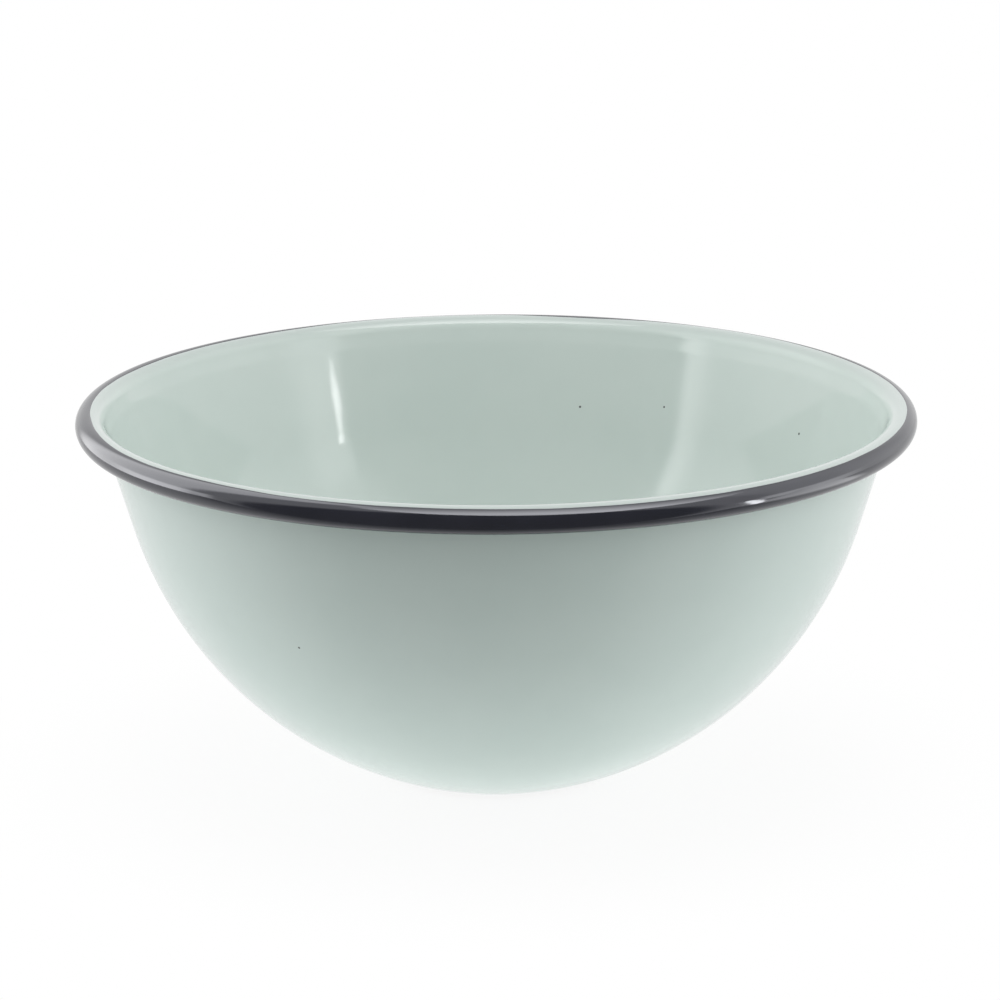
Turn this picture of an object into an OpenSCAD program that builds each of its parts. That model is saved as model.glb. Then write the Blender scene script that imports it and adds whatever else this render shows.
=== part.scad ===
// Enamel cereal bowl: a pressed steel shell with a rolled rim, fused inside and out in layers of glass.
// The origin is on the table under the middle of the base, with +Z up. Sizes are in millimetres.

/* [Bowl] */
// Diameter over the rolled rim
rim_diameter = 160; // [154:1:166]
// Height from the table to the top of the rim
bowl_height = 72.4; // [71:0.2:76]
// Diameter of the flat ring that the bowl stands on, over its outer edge
foot_diameter = 35; // [32:1:40]
// Width of that flat ring
foot_width = 4.5; // [3:0.5:6]
// Radius of the flat middle of the base, which is pressed up clear of the table
base_flat = 6; // [4:0.5:7]
// Height of that flat middle above the table
base_rise = 0.6; // [0.2:0.1:1]
// Radius of the bend from the standing ring into the body
knuckle_radius = 10; // [6:1:14]
// Slope of the body just above that bend, from the table
lower_slope = 18; // [16:0.5:20]
// Lean of the straight upper wall, from vertical
wall_lean = 16.7; // [15.5:0.1:18.5]

/* [Rolled rim] */
// Diameter of the rolled bead, over its enamel
bead_diameter = 5.3; // [4.8:0.1:6.2]
// Radius of the lip on the food side, from the wall up to the crown of the bead
lip_radius = 3.2; // [2.8:0.1:3.8]
// Gap left between the curled edge and the wall
curl_gap = 0.35; // [0.2:0.05:0.6]
// Edge of the dark band on the bead, up from the outermost line towards the crown
band_edge = 80; // [60:1:110]

/* [Sheet and enamel] */
// Thickness of the steel sheet
sheet = 0.6; // [0.5:0.05:0.8]
// Thickness of each dark ground coat
ground_coat = 0.1; // [0.08:0.01:0.15]
// Thickness of each pale cover coat
cover_coat = 0.15; // [0.1:0.01:0.2]
// Thickness of the dark band on the bead
band_coat = 0.1; // [0.08:0.01:0.15]

/* [Hidden] */

// Colours, as the photo shows the two enamels
STEEL = [0.52, 0.53, 0.55];
GROUND = [0.10, 0.11, 0.15];
COVER = [0.78, 0.84, 0.81];
BAND = [0.16, 0.15, 0.19];

// Fineness: steps round the axis, and how far a chord of the section may fall short of its arc
$fn = 180;
chord_error = 0.008;

// Heights of the layers' faces above the outer face of the wall, towards the food side
outer_ground_face = cover_coat;
steel_outer_face = outer_ground_face + ground_coat;
steel_inner_face = steel_outer_face + sheet;
inner_ground_face = steel_inner_face + ground_coat;
food_face = inner_ground_face + cover_coat;
band_face = food_face + band_coat;

// Directions in the section's plane, for a heading in degrees above the table
function ahead(heading) = [cos(heading), sin(heading)];
function leftward(heading) = [-sin(heading), cos(heading)];

// The bead: the wall's outer face turns over the lip at one radius as far as the crown, and curls on round the middle
// of the bead at another
wall_heading = 90 - wall_lean;
bead_radius = bead_diameter / 2;
curl_radius = bead_radius - band_face;
lip_turn_radius = lip_radius - food_face;
band_top = band_edge < 90 ? bead_radius * sin(band_edge) : bead_radius;
rim_top = max(band_top, bead_radius - band_coat);
bead_middle = [rim_diameter / 2 - bead_radius, bowl_height - rim_top];
lip_middle = bead_middle - [0, lip_turn_radius - curl_radius];

// The curl ends where its widest layer is the set gap away from the line of the wall's outer face
wall_reach = lip_turn_radius - (lip_turn_radius - curl_radius) * cos(wall_heading);
curl_turn = 360 - wall_heading - acos((wall_reach - curl_gap) / bead_radius);

// From the flat middle of the base, two equal arcs curve down and out to the standing ring
rise_reach = foot_diameter / 2 - foot_width - base_flat;
rise_turn = 2 * atan(base_rise / rise_reach);
rise_radius = rise_reach / (2 * sin(rise_turn));

// The body arc and the straight wall fill what is left between the bend at the foot and the start of the lip.
// For given headings both displacements are linear in the arc's radius and the wall's length.
body_start = [foot_diameter / 2, 0] + knuckle_radius * [sin(lower_slope), 1 - cos(lower_slope)];
gap = lip_middle + lip_turn_radius * leftward(wall_heading) - body_start;
arc_share = [sin(wall_heading) - sin(lower_slope), cos(lower_slope) - cos(wall_heading)];
wall_share = ahead(wall_heading);
share_cross = cross(arc_share, wall_share);
body_radius = cross(gap, wall_share) / share_cross;
wall_length = cross(arc_share, gap) / share_cross;

// Stretches of the wall's outer face from the axis to the raw edge of the curl. An arc is [turn, radius], with a
// turn to the left positive, and a straight stretch is [0, length].
stretches = [
    [0, base_flat],
    [-rise_turn, rise_radius],
    [rise_turn, rise_radius],
    [0, foot_width],
    [lower_slope, knuckle_radius],
    [wall_heading - lower_slope, body_radius],
    [0, wall_length],
    [-wall_heading, lip_turn_radius],
    [-curl_turn, curl_radius],
];
LIP = len(stretches) - 2;
CURL = len(stretches) - 1;
RAW_EDGE = len(stretches);

// Place after a share of a stretch, at a height off the wall's outer face, from its start and first heading
function along(stretch, start, heading, share, height) =
    stretch[0] == 0
    ? start + share * stretch[1] * ahead(heading) + height * leftward(heading)
    : let (signed_radius = sign(stretch[0]) * stretch[1])
      start + signed_radius * leftward(heading)
      - (signed_radius - height) * leftward(heading + share * stretch[0]);

// Heading and place at the start of each stretch
headings = [for (i = 0, h = 0; i <= CURL; h = h + stretches[i][0], i = i + 1) h];
starts = [
    for (i = 0, p = [0, base_rise]; i <= CURL; p = along(stretches[i], p, headings[i], 1, 0), i = i + 1) p
];

// A station counts along the section: the stretch's number, plus the share of that stretch that lies behind
function place(station, height) =
    let (i = min(floor(station), CURL))
    along(stretches[i], starts[i], headings[i], station - i, height);

// Stations at which the section is drawn: arcs in even steps within the chord error, at their widest layer
function arc_step(radius) = 2 * acos(1 - chord_error / radius);
function steps(stretch) =
    stretch[0] == 0 ? 1 : ceil(abs(stretch[0]) / arc_step(stretch[1] + (stretch[0] < 0 ? band_face : 0)));
stations = [for (i = [0 : CURL]) let (n = steps(stretches[i])) for (k = [0 : n - 1]) i + k / n];

// One face of a layer, from one station to another
function face_line(from, to, height) = [
    place(from, height),
    for (station = stations) if (station > from && station < to) place(station, height),
    place(to, height),
];
function reversed(points) = [for (k = [len(points) - 1 : -1 : 0]) points[k]];

// A layer of the wall between two heights, carried round the axis
module layer(low, high, from = 0, to = RAW_EDGE) {
    rotate_extrude()
        polygon(concat(face_line(from, to, low), reversed(face_line(from, to, high))));
}

// Pressed sheet, from the middle of the base to the raw edge curled under the rim
module steel_shell() {
    color(STEEL) layer(steel_outer_face, steel_inner_face);
}

// First dark glass on the food side, over the lip and round the bead
module inner_ground_coat() {
    color(GROUND) layer(steel_inner_face, inner_ground_face);
}

// First dark glass on the outside, which also lines the hollow of the bead
module outer_ground_coat() {
    color(GROUND) layer(outer_ground_face, steel_outer_face);
}

// Pale glass on the food side, over the lip and round the bead
module inner_cover_coat() {
    color(COVER) layer(inner_ground_face, food_face);
}

// Pale glass on the outside, from under the base up into the mouth of the curl
module outer_cover_coat() {
    color(COVER) layer(0, outer_ground_face, to = LIP);
}

// Dark edging over the bead, from near its crown round the outside to the raw edge
module rim_band() {
    past_crown = 90 - band_edge;
    band_start = CURL + past_crown / (past_crown < 0 ? wall_heading : curl_turn);
    color(BAND) layer(food_face, band_face, from = band_start);
}

steel_shell();
inner_ground_coat();
outer_ground_coat();
inner_cover_coat();
outer_cover_coat();
rim_band();
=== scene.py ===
"""Looks of the enamel cereal bowl: fired coats, a hand-brushed rim and a plain studio round the solids."""
from collections import namedtuple

import bpy
import numpy as np
from mathutils import Matrix, Vector


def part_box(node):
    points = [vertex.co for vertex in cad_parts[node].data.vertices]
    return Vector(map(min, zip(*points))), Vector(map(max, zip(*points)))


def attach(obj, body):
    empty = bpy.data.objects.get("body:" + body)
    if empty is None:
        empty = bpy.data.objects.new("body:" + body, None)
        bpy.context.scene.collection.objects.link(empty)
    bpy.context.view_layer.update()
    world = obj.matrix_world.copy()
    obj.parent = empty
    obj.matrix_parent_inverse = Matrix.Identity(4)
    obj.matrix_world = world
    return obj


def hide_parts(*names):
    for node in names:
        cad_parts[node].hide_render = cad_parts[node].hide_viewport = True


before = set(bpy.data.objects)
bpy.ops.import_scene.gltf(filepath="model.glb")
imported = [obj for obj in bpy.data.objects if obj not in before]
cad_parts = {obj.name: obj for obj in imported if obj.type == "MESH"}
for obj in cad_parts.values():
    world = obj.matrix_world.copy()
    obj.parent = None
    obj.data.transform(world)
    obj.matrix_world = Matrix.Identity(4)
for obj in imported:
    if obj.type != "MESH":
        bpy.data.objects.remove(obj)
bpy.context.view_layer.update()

MM = 0.001
GOLDEN_ANGLE = np.pi * (3 - np.sqrt(5))

# Sizes of the wall's section that the solids share
RIM_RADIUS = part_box("rim_band")[1].x
RIM_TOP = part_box("rim_band")[1].z
FOOT_RADIUS = 17.5 * MM
FOOT_WIDTH = 4.5 * MM
BASE_FLAT = 6 * MM
BASE_RISE = 0.6 * MM
KNUCKLE_RADIUS = 10 * MM
LOWER_SLOPE = np.radians(18)
WALL_HEADING = np.radians(90 - 16.7)
BEAD_RADIUS = 2.65 * MM
LIP_RADIUS = 3.2 * MM
BAND_EDGE = np.radians(80)
CURL_GAP = 0.35 * MM

# Heights of the coats' faces above the wall's outer face, towards the food side
OUTER_GROUND_FACE = 0.15 * MM
INNER_GROUND_FACE = 0.95 * MM
FOOD_FACE = 1.1 * MM
BAND_FACE = 1.2 * MM

# Radii at which the wall's outer face turns round the curl and over the lip
CURL_RADIUS = BEAD_RADIUS - BAND_FACE
LIP_TURN_RADIUS = LIP_RADIUS - FOOD_FACE

# How far a fired coat is drawn in below its even face, at most
COVER_SWELL = 0.04 * MM
BAND_SWELL = 0.03 * MM

# Waves round the bowl that make up each coat's swell, and the phase of the first
FOOD_WAVES = ((3, 5, 8, 13), 0.4)
OUTER_WAVES = ((2, 5, 7, 12), 1.9)
BAND_WAVES = ((4, 7, 11, 18), 0.9)

# Slant of the first of those waves for each stretch of the section, and the stretches in which they fade in
WAVE_SLANT = 2.3
WAVE_FADE = 4

# The wall flares a little below the lip. The food face strays from its even line in straight runs with
# rounded bends, each with its place along the face from the start of the lip, its rounding to either side
# and its change of slope
FLARE_BENDS = (
    (-22 * MM, 3.0 * MM, 0.0062),
    (-2.7 * MM, 0.5 * MM, -0.0862),
    (0.35 * MM, 0.9 * MM, 0.17),
    (2.3 * MM, 0.9 * MM, -0.13),
    (3.8 * MM, 0.3 * MM, 0.04),
)

# Fineness of the pieces: steps round the axis, and steps along each stretch of the section
ROUND_STEPS = 320
FINE_STEPS = (3, 5, 5, 4, 8, 48, 60, 30, 40)
PLAIN_STEPS = (1, 2, 2, 1, 3, 14, 2, 8, 24)

# Steps across the band, how they crowd towards its brushed edge, and how many go to one step of its seat
BAND_STEPS = 80
BAND_CROWDING = 1.7
SEAT_STRIDE = 2

# Edges that turn by more than this stay sharp
SHARP_TURN = np.radians(50)

# The brushed upper edge of the rim's band: its height on the bead, in degrees above the outermost line, at
# even steps round the axis from +X towards +Y
BRUSHED_EDGE = (
    80, 90, 92, 80, 80, 103, 85, 78, 96, 101, 103, 100,
    96, 91, 75, 73, 66, 64, 62, 59, 59, 61, 65, 71,
)
BRUSH_SHAKE = np.radians(0.8)
BRUSH_WAVES = (19, 31, 47)

# The band's coat: the width of its rounded edge, how far its seat is sunk, and its thickness at the crown
EDGE_ROUNDING = 0.3 * MM
BAND_SINK = 0.02 * MM
CROWN_COAT = 0.055 * MM


def curl_turn():
    """Turn of the curl past the crown: its widest layer stops a set gap short of the wall's outer face."""
    wall_reach = LIP_TURN_RADIUS - (LIP_TURN_RADIUS - CURL_RADIUS) * np.cos(WALL_HEADING)
    return 2 * np.pi - WALL_HEADING - np.arccos((wall_reach - CURL_GAP) / BEAD_RADIUS)


def wall_stretches():
    """Turn and size of each stretch of the wall's outer face, from the axis to the raw edge of the curl.

    An arc has its turn to the left and its radius, a straight has no turn and its length. The radius of the
    body arc and the length of the wall are the two unknowns that close the way from the knuckle to the lip.
    """
    rise_reach = FOOT_RADIUS - FOOT_WIDTH - BASE_FLAT
    rise_turn = 2 * np.arctan(BASE_RISE / rise_reach)
    rise_radius = rise_reach / (2 * np.sin(rise_turn))
    bead_middle = np.array([RIM_RADIUS - BEAD_RADIUS, RIM_TOP - BEAD_RADIUS * np.sin(BAND_EDGE)])
    lip_middle = bead_middle - np.array([0, LIP_TURN_RADIUS - CURL_RADIUS])
    wall_end = lip_middle + LIP_TURN_RADIUS * np.array([-np.sin(WALL_HEADING), np.cos(WALL_HEADING)])
    knuckle_way = KNUCKLE_RADIUS * np.array([np.sin(LOWER_SLOPE), 1 - np.cos(LOWER_SLOPE)])
    gap = wall_end - knuckle_way - np.array([FOOT_RADIUS, 0])
    arc_way = [np.sin(WALL_HEADING) - np.sin(LOWER_SLOPE), np.cos(LOWER_SLOPE) - np.cos(WALL_HEADING)]
    wall_way = [np.cos(WALL_HEADING), np.sin(WALL_HEADING)]
    body_radius, wall_length = np.linalg.solve(np.transpose([arc_way, wall_way]), gap)
    return np.array([
        [0, BASE_FLAT],
        [-rise_turn, rise_radius],
        [rise_turn, rise_radius],
        [0, FOOT_WIDTH],
        [LOWER_SLOPE, KNUCKLE_RADIUS],
        [WALL_HEADING - LOWER_SLOPE, body_radius],
        [0, wall_length],
        [-WALL_HEADING, LIP_TURN_RADIUS],
        [-curl_turn(), CURL_RADIUS],
    ])


# Numbers of the last stretches of the section, and the turn, size and first heading of every stretch
STRETCHES = wall_stretches()
RAW_EDGE = len(STRETCHES)
CURL = RAW_EDGE - 1
LIP = CURL - 1
WALL = LIP - 1
BODY = WALL - 1
TURNS = STRETCHES[:, 0]
SIZES = STRETCHES[:, 1]
HEADINGS = np.concatenate([[0], np.cumsum(TURNS)[:-1]])


def stretch_ways():
    """Way covered by each whole stretch: its length along the heading, or the chord of its arc."""
    signed = np.sign(TURNS) * SIZES
    ends = HEADINGS + TURNS
    straight = TURNS == 0
    out = np.where(straight, SIZES * np.cos(HEADINGS), signed * (np.sin(ends) - np.sin(HEADINGS)))
    up = np.where(straight, SIZES * np.sin(HEADINGS), signed * (np.cos(HEADINGS) - np.cos(ends)))
    return np.stack([out, up], axis=1)


STARTS = np.array([0, BASE_RISE]) + np.concatenate([[[0, 0]], np.cumsum(stretch_ways(), axis=0)[:-1]])


def place(station, height):
    """Radius and height over the table of points on the section, as arrays.

    A station is a stretch's number plus the share of it that lies behind. On a straight the point is that
    share along, raised square to it; on an arc it is the arc's radius less the height away from its middle.
    """
    index = np.minimum(station.astype(int), CURL)
    share = station - index
    heading = HEADINGS[index]
    signed = np.sign(TURNS[index]) * SIZES[index]
    turned = heading + share * TURNS[index]
    covered = share * SIZES[index]
    straight = TURNS[index] == 0
    arc_out = -signed * np.sin(heading) + (signed - height) * np.sin(turned)
    arc_up = signed * np.cos(heading) - (signed - height) * np.cos(turned)
    out = np.where(straight, covered * np.cos(heading) - height * np.sin(heading), arc_out)
    up = np.where(straight, covered * np.sin(heading) + height * np.cos(heading), arc_up)
    return STARTS[index, 0] + out, STARTS[index, 1] + up


def stations(steps, last):
    """Stations in even steps along each stretch, up to the last one."""
    parts = [number + np.arange(count) / count for number, count in enumerate(steps)]
    every = np.concatenate(parts)
    return np.append(every[every < last], last)


def around():
    """Angles of the steps round the axis, from +X towards +Y."""
    return np.arange(ROUND_STEPS) * 2 * np.pi / ROUND_STEPS


def swell(station, angle, waves, first_phase):
    """Slow unevenness of a fired coat, from 0 to 1, on the grid of stations by angles.

    It is a sum of waves that run a whole number of times round the bowl and slant along the section, each
    weaker than the last and shifted by the golden angle, faded out towards the axis.
    """
    total = 0
    for number, wave in enumerate(waves):
        phase = first_phase + number * GOLDEN_ANGLE
        slant = (number + 1) * WAVE_SLANT * station
        total = total + np.sin(wave * angle + slant + phase) / (number + 1)
    strength = sum(1 / (number + 1) for number in range(len(waves)))
    faded = np.clip(station / WAVE_FADE, 0, 1)
    return (1 + faded * total / strength) / 2


def ring_faces(rings, steps, closed):
    """Quads between neighbouring rings of a grid, joined round the axis, and if closed last to first."""
    row = np.arange(rings if closed else rings - 1)[:, None]
    column = np.arange(steps)[None, :]
    next_row = (row + 1) % rings
    next_column = (column + 1) % steps
    corners = [row * steps + column, next_row * steps + column,
               next_row * steps + next_column, row * steps + next_column]
    return np.stack(corners, axis=-1).reshape(-1, 4)


def revolved(name, radius, rise, angle, axis_heights=None):
    """A closed piece: rings of a section carried round the axis, each point at its own radius and height.

    Without axis heights the last ring joins the first. With them the first and the last ring close in fans
    on two points of the axis.
    """
    rings, steps = radius.shape
    points = np.stack([radius * np.cos(angle), radius * np.sin(angle), rise], axis=-1).reshape(-1, 3)
    faces = ring_faces(rings, steps, axis_heights is None).tolist()
    if axis_heights is not None:
        first = np.arange(steps)
        after = (first + 1) % steps
        last = first + (rings - 1) * steps
        last_after = after + (rings - 1) * steps
        first_pole = np.full(steps, len(points))
        last_pole = first_pole + 1
        faces += np.stack([first_pole, first, after], axis=-1).tolist()
        faces += np.stack([last, last_pole, last_after], axis=-1).tolist()
        points = np.concatenate([points, [[0, 0, height] for height in axis_heights]])
    mesh = bpy.data.meshes.new(name)
    mesh.from_pydata(points.tolist(), [], faces)
    mesh.polygons.foreach_set("use_smooth", np.ones(len(mesh.polygons), bool))
    mesh.set_sharp_from_angle(angle=SHARP_TURN)
    mesh.update()
    piece = bpy.data.objects.new(name, mesh)
    bpy.context.scene.collection.objects.link(piece)
    return piece


def coat(name, low, high, last):
    """A coat on the wall from the axis to a last station.

    It goes out along its upper face and back along its lower one. Each face is given by its steps along the
    section and a function of station and angle for its height off the wall's outer face.
    """
    angle = around()
    high_steps, high_height = high
    low_steps, low_height = low
    upper = stations(high_steps, last)
    lower = stations(low_steps, last)
    upper = upper[:, None] + 0 * angle
    lower = lower[:, None] + 0 * angle
    upper_grid = place(upper, high_height(upper, angle))
    lower_grid = place(lower, low_height(lower, angle))
    radius = np.concatenate([upper_grid[0][1:], lower_grid[0][:0:-1]])
    rise = np.concatenate([upper_grid[1][1:], lower_grid[1][:0:-1]])
    axis_heights = (upper_grid[1][0, 0], lower_grid[1][0, 0])
    return revolved(name, radius, rise, angle, axis_heights)


def flare(station):
    """Height of the flare over the even food face.

    Each bend adds nothing before it, a straight slope after it, and a parabola that joins the two over its
    rounding.
    """
    body_way = (station - WALL) * SIZES[BODY] * TURNS[BODY] - SIZES[WALL]
    wall_way = (station - LIP) * SIZES[WALL]
    lip_way = (station - LIP) * WALL_HEADING * LIP_RADIUS
    way = np.where(station < WALL, body_way, np.where(station < LIP, wall_way, lip_way))
    total = 0
    for middle, rounding, change in FLARE_BENDS:
        past = way - middle
        bent = np.clip(past + rounding, 0, 2 * rounding) ** 2 / (4 * rounding)
        total = total + change * (bent + np.maximum(past - rounding, 0))
    return np.where(station < CURL, total, 0)


def food_height(station, angle):
    """Height of the food face: the even face with its flare, drawn in by the coat's swell."""
    return FOOD_FACE + flare(station) - COVER_SWELL * swell(station, angle, *FOOD_WAVES)


def outer_height(station, angle):
    """Height of the outside: the even face, drawn in by the coat's swell."""
    return COVER_SWELL * swell(station, angle, *OUTER_WAVES)


def even(height):
    """A face of one height all over."""
    return lambda station, angle: np.full(station.shape, height)


def brushed_edge(angle):
    """Angle on the bead of the band's upper edge: a smooth line through the brushed heights, with a shake.

    The line is the Fourier sum through the evenly spaced heights. The shake is three short waves.
    """
    heights = np.radians(np.array(BRUSHED_EDGE))
    terms = np.fft.rfft(heights) / len(heights)
    orders = np.arange(len(terms))
    weights = np.where((orders == 0) | (orders == len(heights) // 2), 1, 2)
    line = (weights * terms * np.exp(1j * orders * angle[:, None])).real.sum(axis=1)
    shake = sum(np.sin(wave * angle + wave) for wave in BRUSH_WAVES) / len(BRUSH_WAVES)
    return line + BRUSH_SHAKE * shake


def bead_station(bead_angle):
    """Station of a point on the bead, by its angle above the outermost line.

    A point past the crown lies on the lip.
    """
    past_crown = np.pi / 2 - bead_angle
    return CURL + past_crown / np.where(past_crown < 0, WALL_HEADING, curl_turn())


def rim_edging():
    """The dark band on the bead, from its brushed edge near the crown round the outside to the raw edge.

    Each section runs along its outer face in growing steps and back along its seat, a little sunk. The coat
    rises from the brushed edge as a quarter ellipse, is thinnest over the crown and full on the outermost
    line.
    """
    angle = around()
    edge = brushed_edge(angle)[None, :]
    raw_edge = np.pi / 2 - curl_turn()
    way = (np.linspace(0, 1, BAND_STEPS + 1) ** BAND_CROWDING)[:, None]
    bead_angle = edge + way * (raw_edge - edge)
    station = bead_station(bead_angle)
    from_edge = (edge - bead_angle) * BEAD_RADIUS
    lift = np.sqrt(1 - (1 - np.clip(from_edge / EDGE_ROUNDING, 0, 1)) ** 2)
    settled = np.clip(np.cos(np.clip(bead_angle, 0, np.pi / 2)), 0, 1)
    full_coat = BAND_FACE - FOOD_FACE
    thickness = CROWN_COAT + (full_coat - CROWN_COAT) * settled
    uneven = BAND_SWELL * swell(station, angle, *BAND_WAVES) * lift * settled
    seat = food_height(station, angle)
    upper = place(station, seat + thickness * lift - uneven)
    lower = place(station[::-SEAT_STRIDE], seat[::-SEAT_STRIDE] - BAND_SINK)
    radius = np.concatenate([upper[0], lower[0]])
    rise = np.concatenate([upper[1], lower[1]])
    piece = revolved("rim_edging", radius, rise, angle)
    distances = np.concatenate([from_edge, from_edge[::-SEAT_STRIDE]]) / MM
    marks = piece.data.attributes.new("from_edge", "FLOAT", "POINT")
    marks.data.foreach_set("value", distances.astype(np.float32).ravel())
    return piece


def inner_enamel():
    """The pale coat on the food side, over the lip and round the bead."""
    seat = (PLAIN_STEPS, even(INNER_GROUND_FACE))
    return coat("inner_enamel", seat, (FINE_STEPS, food_height), RAW_EDGE)


def outer_enamel():
    """The pale coat on the outside, from under the base up into the mouth of the curl."""
    seat = (PLAIN_STEPS, even(OUTER_GROUND_FACE))
    return coat("outer_enamel", (FINE_STEPS, outer_height), seat, LIP)


# Node helpers

# The Mix node's sockets for the share and the two ends, and for the result, with colours and with values
MIX_SOCKETS = {"RGBA": ((0, 6, 7), 2), "FLOAT": ((0, 2, 3), 0)}


def add_node(tree, kind, settings=(), **inputs):
    """Adds a node, sets its settings, and links or fills the inputs named with underscores for spaces."""
    made = tree.nodes.new(kind)
    for setting, value in dict(settings).items():
        setattr(made, setting, value)
    for socket_name, value in inputs.items():
        fill(tree, made.inputs[socket_name.replace("_", " ")], value)
    return made


def fill(tree, socket, value):
    """Links a socket to another, or sets its value."""
    if isinstance(value, bpy.types.NodeSocket):
        tree.links.new(value, socket)
    else:
        socket.default_value = value


def maths(tree, operation, *values):
    """A Math node's result."""
    made = add_node(tree, "ShaderNodeMath", {"operation": operation})
    for socket, value in zip(made.inputs, values):
        fill(tree, socket, value)
    return made.outputs[0]


def ramp(tree, value, low, high, out_low=0.0, out_high=1.0):
    """A smooth step: out_low below low, out_high above high."""
    made = add_node(tree, "ShaderNodeMapRange", {"interpolation_type": "SMOOTHSTEP"}, Value=value)
    limits = {"From Min": low, "From Max": high, "To Min": out_low, "To Max": out_high}
    for socket_name, limit in limits.items():
        fill(tree, made.inputs[socket_name], limit)
    return made.outputs["Result"]


def blend(tree, share, first, second, kind="RGBA"):
    """Two colours, or two ends of another kind, mixed by a share."""
    made = add_node(tree, "ShaderNodeMix", {"data_type": kind})
    numbers, result = MIX_SOCKETS[kind]
    for number, value in zip(numbers, (share, first, second)):
        fill(tree, made.inputs[number], value)
    return made.outputs[result]


def choose(tree, share, first, second):
    """Two plain values mixed by a share."""
    return blend(tree, share, first, second, "FLOAT")


def noise(tree, where, scale, detail):
    """Soft clouds from 0 to 1 at a place, with about as many spots to the metre as the scale says."""
    return add_node(tree, "ShaderNodeTexNoise", Vector=where, Scale=scale, Detail=detail).outputs[0]


def object_place(tree):
    """Place in the object's own frame, in metres."""
    return add_node(tree, "ShaderNodeTexCoord").outputs["Object"]


def new_group(name, inputs, outputs):
    """An empty node group with float or vector inputs and float outputs, and its two end nodes."""
    tree = bpy.data.node_groups.new(name, "ShaderNodeTree")
    for socket_name, kind in inputs:
        tree.interface.new_socket(socket_name, in_out="INPUT", socket_type=kind)
    for socket_name in outputs:
        tree.interface.new_socket(socket_name, in_out="OUTPUT", socket_type="NodeSocketFloat")
    return tree, tree.nodes.new("NodeGroupInput").outputs, tree.nodes.new("NodeGroupOutput").inputs


def use_group(tree, group, **inputs):
    """A group's outputs, placed in a material with its own values."""
    return add_node(tree, "ShaderNodeGroup", {"node_tree": group}, **inputs).outputs


# Effects that several finishes share

# Detail of the clouds, of the peel and of the hazier patches, and the patches' size to that of the clouds
CLOUD_DETAIL = 3.0
PEEL_DETAIL = 1.0
HAZE_DETAIL = 2.0
HAZE_SHARE = 0.37

# Shares of a pinhole's radius over which its colour and its dimple end
PINHOLE_EDGE = (0.55, 1.0)
PINHOLE_SLOPE = (0.3, 2.2)


def fired_flow_group():
    """Traces of a coat that has melted and set: clouds of tone, hazier patches and the fine peel."""
    tree, given, result = new_group(
        "fired_flow",
        [("Cloud Size", "NodeSocketFloat"), ("Peel Size", "NodeSocketFloat")],
        ["Cloud", "Haze", "Peel"],
    )
    where = object_place(tree)
    for output, size, detail, share in (
        ("Cloud", "Cloud Size", CLOUD_DETAIL, 1.0),
        ("Peel", "Peel Size", PEEL_DETAIL, 1.0),
        ("Haze", "Cloud Size", HAZE_DETAIL, HAZE_SHARE),
    ):
        across = maths(tree, "MULTIPLY", given[size], share)
        scale = maths(tree, "DIVIDE", 1.0, across)
        fill(tree, result[output], noise(tree, where, scale, detail))
    return tree


def pinhole_group():
    """One pinhole in a coat at a given place: a mask with a soft edge, and the depth of its dimple."""
    tree, given, result = new_group(
        "pinhole",
        [("Place", "NodeSocketVector"), ("Radius", "NodeSocketFloat")],
        ["Mask", "Dimple"],
    )
    away = add_node(tree, "ShaderNodeVectorMath", {"operation": "DISTANCE"})
    fill(tree, away.inputs[0], object_place(tree))
    fill(tree, away.inputs[1], given["Place"])
    share = maths(tree, "DIVIDE", away.outputs["Value"], given["Radius"])
    fill(tree, result["Mask"], ramp(tree, share, *PINHOLE_EDGE, 1.0, 0.0))
    fill(tree, result["Dimple"], ramp(tree, share, *PINHOLE_SLOPE, 1.0, 0.0))
    return tree


FIRED_FLOW = fired_flow_group()
PINHOLE = pinhole_group()

# Colours, in linear light
# The inside and outside tones and clouds are one enamel; their slight difference is a painted tint of light,
# warmer on the inside and cooler on the outside
INSIDE_TONE = (0.63, 0.705, 0.67, 1)
INSIDE_CLOUD = (0.61, 0.69, 0.655, 1)
OUTSIDE_TONE = (0.61, 0.71, 0.673, 1)
OUTSIDE_CLOUD = (0.592, 0.695, 0.658, 1)
LIP_TONE = (0.52, 0.585, 0.56, 1)
GROUND_TONE = (0.012, 0.013, 0.02, 1)
GROUND_CLOUD = (0.02, 0.022, 0.034, 1)
BAND_TONE = (0.006, 0.007, 0.015, 1)
BAND_CLOUD = (0.011, 0.012, 0.022, 1)
BAND_SHEEN = (0.94, 0.95, 1, 1)
BAND_THIN = (0.06, 0.06, 0.075, 1)
PINHOLE_TONE = (0.08, 0.085, 0.09, 1)
STEEL_TONE = (0.42, 0.42, 0.43, 1)
STEEL_CLOUD = (0.32, 0.32, 0.34, 1)

# A surface: sizes of its clouds and its peel, the spans of the noise over which the clouds and the hazier
# patches come up, its roughness in the clear and in those patches, and the depth of its relief
Surface = namedtuple("Surface", "clouds peel cloud_span haze_span roughness depth")
PALE_SURFACE = Surface(22 * MM, 2.2 * MM, (0.35, 0.7), (0.3, 0.75), (0.05, 0.08), 0.02 * MM)
BAND_SURFACE = Surface(9 * MM, 1.6 * MM, (0.35, 0.7), (0.3, 0.75), (0.07, 0.12), 0.006 * MM)
GROUND_SURFACE = Surface(6 * MM, 1.2 * MM, (0.4, 0.65), (0.3, 0.7), (0.2, 0.35), 0.01 * MM)
STEEL_SURFACE = Surface(12 * MM, 0.8 * MM, (0.35, 0.7), (0.3, 0.7), (0.35, 0.5), 0.01 * MM)

# Refractive indices of the two glasses, by which they mirror
PALE_IOR = 1.5
BAND_IOR = 1.8

# The pale coats turn greyer between these depths below the top of the rim
CROWN_GREY = (1.6 * MM, 0.2 * MM)

# Depth of their peel as a share of a pinhole's
PEEL_SHARE = 0.25

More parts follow.
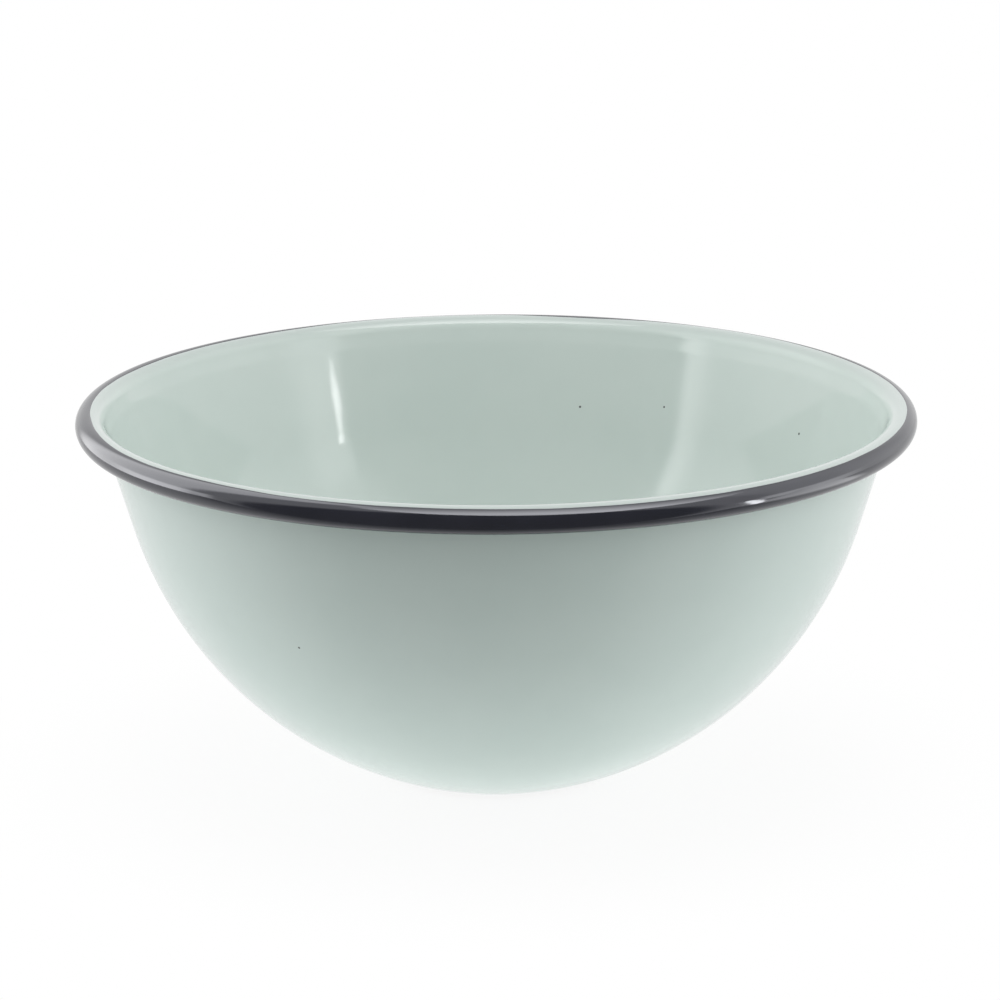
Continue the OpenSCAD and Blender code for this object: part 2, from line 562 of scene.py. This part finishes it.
# The band is lighter by a share along its thin edge, which ends over a span and strays, both in millimetres
THIN_SHARE = 0.5
THIN_SPAN = (-0.12, 0.05)
THIN_STRAY = 0.25

# Dark pinholes in the pale coats: place and radius in millimetres
PINHOLES = (
    ((17.3, 67.6, 55.0), 0.30),
    ((34.4, 61.2, 56.4), 0.27),
    ((60.3, 36.1, 56.8), 0.32),
    ((-35.8, -54.9, 40.1), 0.28),
)


def new_material(name):
    """A material with its shader, ready for its nodes."""
    material = bpy.data.materials.new(name)
    material.use_nodes = True
    tree = material.node_tree
    tree.nodes.clear()
    shader = add_node(tree, "ShaderNodeBsdfPrincipled")
    add_node(tree, "ShaderNodeOutputMaterial", Surface=shader.outputs["BSDF"])
    return material, tree, shader


def bump(tree, height, depth):
    """A normal from a height between 0 and 1 and the depth that it stands for, in metres."""
    made = add_node(tree, "ShaderNodeBump", Strength=1.0, Distance=depth, Height=height)
    return made.outputs["Normal"]


def clouded(tree, surface, tone, cloud):
    """The traces of firing in a surface, and its tone in clouds."""
    flow = use_group(tree, FIRED_FLOW, Cloud_Size=surface.clouds, Peel_Size=surface.peel)
    colour = blend(tree, ramp(tree, flow["Cloud"], *surface.cloud_span), tone, cloud)
    return flow, colour


def dress(tree, shader, surface, flow, colour, relief):
    """Gives a shader its colour, its roughness with hazier patches, and its relief."""
    haze = ramp(tree, flow["Haze"], *surface.haze_span, *surface.roughness)
    fill(tree, shader.inputs["Base Color"], colour)
    fill(tree, shader.inputs["Roughness"], haze)
    fill(tree, shader.inputs["Normal"], bump(tree, relief, surface.depth))


def pale_enamel(name, tone, cloud):
    """Glossy pale cover coat: clouds of tone, a greyer crown, pinholes and a fine peel."""
    material, tree, shader = new_material(name)
    flow, colour = clouded(tree, PALE_SURFACE, tone, cloud)
    height = add_node(tree, "ShaderNodeSeparateXYZ", Vector=object_place(tree)).outputs["Z"]
    crown = ramp(tree, height, *(RIM_TOP - depth for depth in CROWN_GREY))
    colour = blend(tree, crown, colour, LIP_TONE)
    relief = maths(tree, "MULTIPLY", flow["Peel"], PEEL_SHARE)
    for spot, radius in PINHOLES:
        hole = use_group(tree, PINHOLE, Place=Vector(spot) * MM, Radius=radius * MM)
        colour = blend(tree, hole["Mask"], colour, PINHOLE_TONE)
        relief = maths(tree, "SUBTRACT", relief, hole["Dimple"])
    dress(tree, shader, PALE_SURFACE, flow, colour, relief)
    fill(tree, shader.inputs["IOR"], PALE_IOR)
    return material


def brushed_band():
    """Dark glossy edging: blue-black, a little lighter in clouds and along the thin brushed edge."""
    material, tree, shader = new_material("brushed_band")
    flow, colour = clouded(tree, BAND_SURFACE, BAND_TONE, BAND_CLOUD)
    from_edge = add_node(tree, "ShaderNodeAttribute", {"attribute_name": "from_edge"}).outputs["Fac"]
    ragged = maths(tree, "SUBTRACT", from_edge, maths(tree, "MULTIPLY", flow["Haze"], THIN_STRAY))
    thin = ramp(tree, ragged, *THIN_SPAN, THIN_SHARE, 0.0)
    colour = blend(tree, thin, colour, BAND_THIN)
    dress(tree, shader, BAND_SURFACE, flow, colour, flow["Peel"])
    fill(tree, shader.inputs["IOR"], BAND_IOR)
    fill(tree, shader.inputs["Specular Tint"], BAND_SHEEN)
    return material


def first_coat():
    """Dark blue-black first coat under the cover coats."""
    material, tree, shader = new_material("first_coat")
    flow, colour = clouded(tree, GROUND_SURFACE, GROUND_TONE, GROUND_CLOUD)
    dress(tree, shader, GROUND_SURFACE, flow, colour, flow["Peel"])
    return material


def pickled_steel():
    """Pickled steel sheet under the coats."""
    material, tree, shader = new_material("pickled_steel")
    flow, colour = clouded(tree, STEEL_SURFACE, STEEL_TONE, STEEL_CLOUD)
    dress(tree, shader, STEEL_SURFACE, flow, colour, flow["Peel"])
    fill(tree, shader.inputs["Metallic"], 1.0)
    return material


# Studio, with places and sizes in metres

# The camera: its distance to the middle of the rim, its height angle there, and how it is aimed
CAMERA_DISTANCE = 850 * MM
CAMERA_HEIGHT_ANGLE = np.radians(13.639)
CAMERA_TARGET_HEIGHT = 69.8 * MM
CAMERA_PITCH = np.radians(14.733)
CAMERA_YAW = np.radians(0.0441)
CAMERA_ROLL = np.radians(-0.3145)

# The width of its sensor in millimetres, and its focal length and the width of the image in pixels
SENSOR = 36
FOCAL_PIXELS = 4458.4
IMAGE_PIXELS = 1000

# The paper that the bowl stands on reaches this far towards the camera, and this far to the other sides
PAPER_FRONT = 0.105
PAPER_REACH = 3.0

# Its two tones, and the size and detail of the grain that they mix in
PAPER_TONE = (0.9, 0.9, 0.9, 1)
PAPER_CLOUD = (0.88, 0.88, 0.88, 1)
PAPER_GRAIN = 0.4
PAPER_DETAIL = 2.0

# Its share of plain white where it is seen, close to the bowl and further out, and the distances from the
# axis between which that changes
PAPER_SEEN = (0.9, 1.0)
PAPER_SEEN_SPAN = (0.05, 0.11)

# Its level where it is mirrored, at the front and at the back, and the places along +Y between which that
# changes
PAPER_MIRRORED = (0.2, 0.9)
PAPER_MIRRORED_SPAN = (-0.13, -0.02)

# The room is white where it is seen or mirrored, and lights the bowl at this level
ROOM_LEVEL = 0.81

# A dim round side behind the camera: its level, its level where it is mirrored, its direction, and the
# angles off that direction between which it ends
DIM_LEVEL = 0.28
DIM_MIRRORED = 0.2
DIM_TURN = np.radians(186.5)
DIM_TILT = np.radians(-10)
DIM_INNER = np.radians(60)
DIM_OUTER = np.radians(70)

# Sides that the lamps face
RIGHTWARDS = (1, 0, 0)
LEFTWARDS = (-1, 0, 0)
UPWARDS = (0, 0, 1)
DOWNWARDS = (0, 0, -1)

# A lamp that faces up or down by more than this has +Y for its head, and any other has +Z
STEEP = 0.9

# Panels that light matt surfaces: middle and the side that they face, width and height, and radiance
LIT_PANELS = (
    ("left", (-0.42, 0, 0.275), RIGHTWARDS, (0.84, 0.55), 0.72),
    ("right_front", (0.42, -0.20, 0.275), LEFTWARDS, (0.44, 0.55), 0.76),
    ("front_right", (0.26, -0.40, 0.22), (-0.55, 0.83, 0), (0.30, 0.44), 0.38),
    ("top", (0, -0.04, 0.55), DOWNWARDS, (0.80, 0.92), 0.47),
    ("table_near", (0, 0, 0.001), UPWARDS, (0.09, 0.09), 0.27),
    ("table_wide", (0, 0, 0.0008), UPWARDS, (0.21, 0.21), 0.21),
)

# Panels that are mirrored in the gloss: the coats that mirror them, middle and the side that they face,
# width and height, the shares over which they fade at their two sides, foot and head, and radiance
MIRRORED_PANELS = (
    ("left_wall", "pale", (-0.40, 0.1225, 0.44), RIGHTWARDS, (0.595, 0.72), (0.3, 0.05, 0.25, 0.5), 0.9),
    ("left_edge", "pale", (-0.39, -0.125, 0.26), RIGHTWARDS, (0.12, 0.28), (0.7, 0.3, 0.2, 0.4), 2.2),
    ("left_side", "band", (-0.38, 0.26, 0.75), RIGHTWARDS, (0.70, 1.50), (0.4, 0.09, 0, 0.4), 1.8),
    ("left_low", "band", (-0.37, 0.0375, 0.065), RIGHTWARDS, (0.325, 0.13), (0.5, 0.08, 0, 0.3), 1.7),
    ("right_wall", "pale", (0.40, 0.065, 0.44), LEFTWARDS, (0.71, 0.72), (0.03, 0.6, 0.25, 0.5), 0.5),
    ("right_front", "pale", (0.39, -0.185, 0.21), LEFTWARDS, (0.21, 0.28), (0.06, 0.4, 0.3, 0.3), 1.0),
    ("right_side", "band", (0.38, 0.125, 0.40), LEFTWARDS, (0.59, 0.80), (0.1, 0.6, 0, 0.5), 0.35),
    ("right_low", "band", (0.37, -0.024, 0.055), LEFTWARDS, (0.288, 0.11), (0.06, 0.5, 0, 0.4), 1.3),
    ("right_table", "band", (0.26, -0.035, 0.002), UPWARDS, (0.26, 0.17), (0.2, 0.2, 0.2, 0.2), 1.7),
)

# Round panels that are mirrored in the gloss, with the same values
MIRRORED_DISCS = (
    ("overhead", "band", (0.35, -0.45, 1.5), DOWNWARDS, (2.0, 2.0), (0, 0, 0, 0.9), 3.8),
    ("zenith", "pale", (0.1, -0.1, 1.4), DOWNWARDS, (1.3, 1.3), (0, 0, 0, 0.9), 4.5),
)

# Small bright lamps that are only mirrored: the coats that mirror them, middle and the side that they face,
# width and height, roll in degrees, and radiance
GLINTS = (
    ("wall_glint", "pale", (0.36, -0.228, 0.199), LEFTWARDS, (0.024, 0.025), 50, 9.5),
    ("band_glint", "band", (0.153, -0.097, 0.034), (-0.90, 0.26, 0.35), (0.012, 0.062), 21, 9.0),
)


def towards(turn, tilt):
    """Unit direction at a turn from the far side (+Y) towards the right (+X), and a tilt above the level."""
    return Vector((np.sin(turn) * np.cos(tilt), np.cos(turn) * np.cos(tilt), np.sin(tilt)))


def camera():
    """The camera, aimed by its pitch, yaw and roll."""
    data = bpy.data.cameras.new("camera")
    data.sensor_width = SENSOR
    data.lens = FOCAL_PIXELS / IMAGE_PIXELS * SENSOR
    ahead = towards(CAMERA_YAW, -CAMERA_PITCH)
    level_right = ahead.cross(Vector(UPWARDS)).normalized()
    level_up = level_right.cross(ahead)
    right = level_right * np.cos(CAMERA_ROLL) + level_up * np.sin(CAMERA_ROLL)
    up = right.cross(ahead)
    turned = Matrix((right, up, -ahead)).transposed().to_4x4()
    target = Vector((0, 0, CAMERA_TARGET_HEIGHT))
    stand = target + CAMERA_DISTANCE * towards(np.pi, CAMERA_HEIGHT_ANGLE)
    placed = bpy.data.objects.new("camera", data)
    placed.matrix_world = Matrix.Translation(stand) @ turned
    bpy.context.scene.collection.objects.link(placed)
    bpy.context.scene.camera = placed


def soften(data, fades):
    """Fades a lamp over a share of its width at each side, and of its height at its foot and head."""
    data.use_nodes = True
    tree = data.node_tree
    where = add_node(tree, "ShaderNodeNewGeometry").outputs["Parametric"]
    across = add_node(tree, "ShaderNodeSeparateXYZ", Vector=where).outputs
    one_side, other_side, foot, head = fades
    strength = 1.0
    for axis, first, last in (("X", one_side, other_side), ("Y", foot, head)):
        if first:
            rising = ramp(tree, across[axis], 0.0, first)
            strength = maths(tree, "MULTIPLY", strength, rising)
        if last:
            falling = ramp(tree, across[axis], 1.0 - last, 1.0, 1.0, 0.0)
            strength = maths(tree, "MULTIPLY", strength, falling)
    fill(tree, tree.nodes["Emission"].inputs["Strength"], strength)


def lamp(name, shape, middle, facing, size, radiance, roll=0.0):
    """A flat lamp with an even radiance, not seen by the camera itself."""
    width, height = size
    data = bpy.data.lights.new(name, "AREA")
    data.shape = shape
    data.size = width
    data.size_y = height
    area = width * height * (np.pi / 4 if shape == "ELLIPSE" else 1)
    data.energy = radiance * np.pi * area
    out = -Vector(facing).normalized()
    upright = Vector((0, 1, 0)) if abs(out.z) > STEEP else Vector(UPWARDS)
    right = upright.cross(out).normalized()
    turned = Matrix((right, out.cross(right), out)).transposed().to_4x4()
    rolled = turned @ Matrix.Rotation(np.radians(roll), 4, "Z")
    placed = bpy.data.objects.new(name, data)
    placed.matrix_world = Matrix.Translation(Vector(middle)) @ rolled
    placed.visible_camera = False
    bpy.context.scene.collection.objects.link(placed)
    return placed


def paper_finish():
    """White paper: a matt sheet that takes the shadow, mixed with white where it is seen or mirrored."""
    material = bpy.data.materials.new("paper")
    material.use_nodes = True
    tree = material.node_tree
    tree.nodes.clear()
    where = object_place(tree)
    grain = noise(tree, where, 1 / PAPER_GRAIN, PAPER_DETAIL)
    tone = blend(tree, grain, PAPER_TONE, PAPER_CLOUD)
    matt = add_node(tree, "ShaderNodeBsdfDiffuse", Color=tone)
    rays = add_node(tree, "ShaderNodeLightPath").outputs
    mirrored = maths(tree, "MAXIMUM", rays["Is Glossy Ray"], rays["Is Transmission Ray"])
    away = add_node(tree, "ShaderNodeVectorMath", {"operation": "LENGTH"})
    fill(tree, away.inputs[0], where)
    along = add_node(tree, "ShaderNodeSeparateXYZ", Vector=where).outputs["Y"]
    seen = ramp(tree, away.outputs["Value"], *PAPER_SEEN_SPAN, *PAPER_SEEN)
    share = choose(tree, rays["Is Camera Ray"], mirrored, seen)
    mirrored_level = ramp(tree, along, *PAPER_MIRRORED_SPAN, *PAPER_MIRRORED)
    level = choose(tree, mirrored, 1.0, mirrored_level)
    white = add_node(tree, "ShaderNodeEmission", Color=(1, 1, 1, 1), Strength=level)
    mixed = add_node(tree, "ShaderNodeMixShader", Fac=share)
    fill(tree, mixed.inputs[1], matt.outputs[0])
    fill(tree, mixed.inputs[2], white.outputs[0])
    add_node(tree, "ShaderNodeOutputMaterial", Surface=mixed.outputs[0])
    return material


def paper():
    """The flat sheet under the bowl."""
    corners = [(-PAPER_REACH, -PAPER_FRONT, 0), (PAPER_REACH, -PAPER_FRONT, 0),
               (PAPER_REACH, PAPER_REACH, 0), (-PAPER_REACH, PAPER_REACH, 0)]
    mesh = bpy.data.meshes.new("paper")
    mesh.from_pydata(corners, [], [(0, 1, 2, 3)])
    mesh.materials.append(paper_finish())
    sheet = bpy.data.objects.new("paper", mesh)
    bpy.context.scene.collection.objects.link(sheet)


def room():
    """The room's light: bright all round but for a dim side behind the camera, white where it is seen."""
    world = bpy.data.worlds.new("room")
    world.use_nodes = True
    bpy.context.scene.world = world
    tree = world.node_tree
    tree.nodes.clear()
    direction = add_node(tree, "ShaderNodeTexCoord").outputs["Generated"]
    facing = add_node(tree, "ShaderNodeVectorMath", {"operation": "DOT_PRODUCT"})
    fill(tree, facing.inputs[0], direction)
    fill(tree, facing.inputs[1], towards(DIM_TURN, DIM_TILT))
    dim = ramp(tree, facing.outputs["Value"], np.cos(DIM_OUTER), np.cos(DIM_INNER))
    rays = add_node(tree, "ShaderNodeLightPath").outputs
    mirrored = maths(tree, "MAXIMUM", rays["Is Glossy Ray"], rays["Is Transmission Ray"])
    bright_level = choose(tree, mirrored, ROOM_LEVEL, 1.0)
    dim_level = choose(tree, mirrored, DIM_LEVEL, DIM_MIRRORED)
    level = choose(tree, dim, bright_level, dim_level)
    strength = choose(tree, rays["Is Camera Ray"], level, 1.0)
    light = add_node(tree, "ShaderNodeBackground", Color=(1, 1, 1, 1), Strength=strength)
    add_node(tree, "ShaderNodeOutputWorld", Surface=light.outputs[0])


def coats(name, pieces):
    """A collection of coats that a lamp is kept to."""
    made = bpy.data.collections.new(name)
    for piece in pieces:
        made.objects.link(piece)
    return made


def lamps(pale_pieces, band_piece):
    """The studio's panels and glints. Each mirrored one is kept to the pale coats or to the band."""
    for name, middle, facing, size, radiance in LIT_PANELS:
        lit = lamp(name + "_lit", "RECTANGLE", middle, facing, size, radiance)
        lit.visible_glossy = False
    receivers = {"pale": coats("pale_coats", pale_pieces), "band": coats("band_alone", [band_piece])}
    for shape, panels in (("RECTANGLE", MIRRORED_PANELS), ("ELLIPSE", MIRRORED_DISCS)):
        for name, kept_to, middle, facing, size, fades, radiance in panels:
            mirrored = lamp(name + "_mirrored", shape, middle, facing, size, radiance)
            mirrored.visible_diffuse = False
            mirrored.light_linking.receiver_collection = receivers[kept_to]
            soften(mirrored.data, fades)
    for name, kept_to, middle, facing, size, roll, radiance in GLINTS:
        glint = lamp(name, "ELLIPSE", middle, facing, size, radiance, roll)
        glint.visible_diffuse = False
        glint.light_linking.receiver_collection = receivers[kept_to]


# Assembly

# One enamel in two copies, tinted warmer inside and cooler outside as painted light
inside = pale_enamel("inside_enamel", INSIDE_TONE, INSIDE_CLOUD)
outside = pale_enamel("outside_enamel", OUTSIDE_TONE, OUTSIDE_CLOUD)
ground = first_coat()
food_coat = inner_enamel()
back_coat = outer_enamel()
edging = rim_edging()
for piece, finish, slot, node in (
    (food_coat, inside, "cover_enamel", "inner_cover_coat"),
    (back_coat, outside, "cover_enamel", "outer_cover_coat"),
    (edging, brushed_band(), "band_enamel", "rim_band"),
):
    piece.data.materials.append(finish)
    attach(piece, "root")
    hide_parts(node)

for node, finish in (
    ("steel_shell", pickled_steel()),
    ("inner_ground_coat", ground),
    ("outer_ground_coat", ground),
):
    for material_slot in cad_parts[node].material_slots:
        material_slot.material = finish

camera()
paper()
room()
lamps([food_coat, back_coat], edging)
bpy.context.scene.view_settings.view_transform = "Standard"
